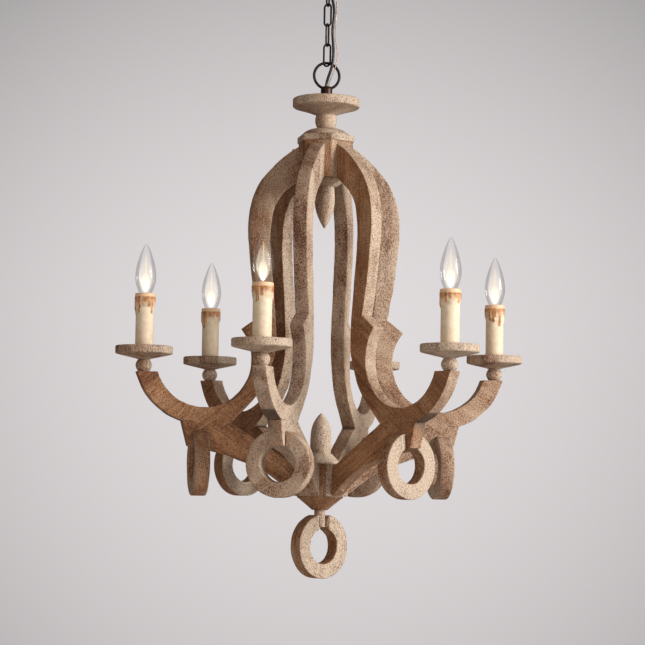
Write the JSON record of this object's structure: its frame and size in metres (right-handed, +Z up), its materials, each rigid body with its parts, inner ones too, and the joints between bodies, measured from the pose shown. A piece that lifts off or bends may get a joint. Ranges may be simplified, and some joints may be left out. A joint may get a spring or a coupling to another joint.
{
  "type": "candle chandelier",
  "caption": "Carved wooden candle chandelier with onion-shaped cage of scrolled arms, drip cups, candle sleeves and hanging rings, on a chain from a ceiling canopy.",
  "frame": {"origin": "middle of the ceiling strap between its two screw holes, in the plane of the ceiling", "axes": "+Z up into the ceiling, +X along the strap and along the first arm"},
  "size_m": [0.712, 0.6296, 1.0865],
  "materials": {
    "weathered_wood": "weathered, whitewashed and rubbed back, matt",
    "bronze_paint": "dark bronze paint, satin",
    "steel": "zinc plated thread and sheet",
    "cord_cover": "brown cord cover",
    "copper": "bare stranded copper, dulled",
    "wire_cover": "black wire cover",
    "socket_plastic": "moulded lamp socket",
    "candle_sleeve": "cream wax coated sleeve with orange drips",
    "clear_glass": "clear flame-tip bulb",
    "cap_brass": "threaded bulb cap"
  },
  "bodies": {
    "ceiling": {"ceiling_strap": "steel", "hanger_nipple": "steel", "canopy": "bronze_paint", "canopy_collar": "bronze_paint", "canopy_loop": "bronze_paint"},
    "chain": {"chain_links": "bronze_paint", "power_cord": "cord_cover", "earth_wire": "copper"},
    "chandelier": {"hanging_loop": "bronze_paint", "hanger_pipe": "steel", "crown_disc": "weathered_wood", "crown_bead": "weathered_wood", "crown_dome": "weathered_wood", "hub_cap": "weathered_wood", "upper_hub": "weathered_wood", "upper_finial": "weathered_wood", "arm_1": "weathered_wood", "arm_2": "weathered_wood", "arm_3": "weathered_wood", "arm_4": "weathered_wood", "arm_5": "weathered_wood", "arm_6": "weathered_wood", "lower_hub": "weathered_wood", "lower_finial": "weathered_wood", "lower_cone": "weathered_wood", "ring_peg": "weathered_wood", "lower_rod": "steel", "hub_dowels": "weathered_wood", "arm_wires": "wire_cover", "cup_beads": "weathered_wood", "drip_cup_1": "weathered_wood", "drip_cup_2": "weathered_wood", "drip_cup_3": "weathered_wood", "drip_cup_4": "weathered_wood", "drip_cup_5": "weathered_wood", "drip_cup_6": "weathered_wood", "candle_nipples": "steel", "lamp_sockets": "socket_plastic", "candle_sleeves": "candle_sleeve", "ring_pins": "weathered_wood"},
    "ring_1": {"hanging_ring_1": "weathered_wood"},
    "ring_2": {"hanging_ring_2": "weathered_wood"},
    "ring_3": {"hanging_ring_3": "weathered_wood"},
    "ring_4": {"hanging_ring_4": "weathered_wood"},
    "ring_5": {"hanging_ring_5": "weathered_wood"},
    "ring_6": {"hanging_ring_6": "weathered_wood"},
    "lowest_ring": {"bottom_ring": "weathered_wood"},
    "bulb_1": {"bulb_glass_1": "clear_glass", "bulb_cap_1": "cap_brass"},
    "bulb_2": {"bulb_glass_2": "clear_glass", "bulb_cap_2": "cap_brass"},
    "bulb_3": {"bulb_glass_3": "clear_glass", "bulb_cap_3": "cap_brass"},
    "bulb_4": {"bulb_glass_4": "clear_glass", "bulb_cap_4": "cap_brass"},
    "bulb_5": {"bulb_glass_5": "clear_glass", "bulb_cap_5": "cap_brass"},
    "bulb_6": {"bulb_glass_6": "clear_glass", "bulb_cap_6": "cap_brass"}
  },
  "joints": [
    {"name": "chain_swing", "type": "hinge", "parent": "ceiling", "child": "chain", "pos_m": [0, 0, -0.05725], "axis": [0.5, 0.866, 0], "range_deg": [-10, 10], "deforming": ["power_cord", "earth_wire"]},
    {"name": "frame_swing", "type": "hinge", "parent": "chain", "child": "chandelier", "pos_m": [0, 0, -0.20185], "axis": [0.7071, -0.7071, 0], "range_deg": [-6, 6], "deforming": ["power_cord", "earth_wire"]},
    {"name": "ring_1_swing", "type": "hinge", "parent": "chandelier", "child": "ring_1", "pos_m": [0.211, 0, -0.8515], "axis": [0, 1, 0], "range_deg": [-30, 30]},
    {"name": "ring_2_swing", "type": "hinge", "parent": "chandelier", "child": "ring_2", "pos_m": [0.1055, 0.18273, -0.8515], "axis": [-0.866, 0.5, 0], "range_deg": [-30, 30]},
    {"name": "ring_3_swing", "type": "hinge", "parent": "chandelier", "child": "ring_3", "pos_m": [-0.1055, 0.18273, -0.8515], "axis": [-0.866, -0.5, 0], "range_deg": [-30, 30]},
    {"name": "ring_4_swing", "type": "hinge", "parent": "chandelier", "child": "ring_4", "pos_m": [-0.211, 0, -0.8515], "axis": [0, -1, 0], "range_deg": [-30, 30]},
    {"name": "ring_5_swing", "type": "hinge", "parent": "chandelier", "child": "ring_5", "pos_m": [-0.1055, -0.18273, -0.8515], "axis": [0.866, -0.5, 0], "range_deg": [-30, 30]},
    {"name": "ring_6_swing", "type": "hinge", "parent": "chandelier", "child": "ring_6", "pos_m": [0.1055, -0.18273, -0.8515], "axis": [0.866, 0.5, 0], "range_deg": [-30, 30]},
    {"name": "bottom_ring_swing", "type": "hinge", "parent": "chandelier", "child": "lowest_ring", "pos_m": [0, 0, -0.989], "axis": [0.866, 0.5, 0], "range_deg": [-30, 30]},
    {"name": "bulb_1_out", "type": "slide", "parent": "chandelier", "child": "bulb_1", "axis": [0, 0, 1], "range_m": [0, 0.03]},
    {"name": "bulb_2_out", "type": "slide", "parent": "chandelier", "child": "bulb_2", "axis": [0, 0, 1], "range_m": [0, 0.03]},
    {"name": "bulb_3_out", "type": "slide", "parent": "chandelier", "child": "bulb_3", "axis": [0, 0, 1], "range_m": [0, 0.03]},
    {"name": "bulb_4_out", "type": "slide", "parent": "chandelier", "child": "bulb_4", "axis": [0, 0, 1], "range_m": [0, 0.03]},
    {"name": "bulb_5_out", "type": "slide", "parent": "chandelier", "child": "bulb_5", "axis": [0, 0, 1], "range_m": [0, 0.03]},
    {"name": "bulb_6_out", "type": "slide", "parent": "chandelier", "child": "bulb_6", "axis": [0, 0, 1], "range_m": [0, 0.03]}
  ]
}
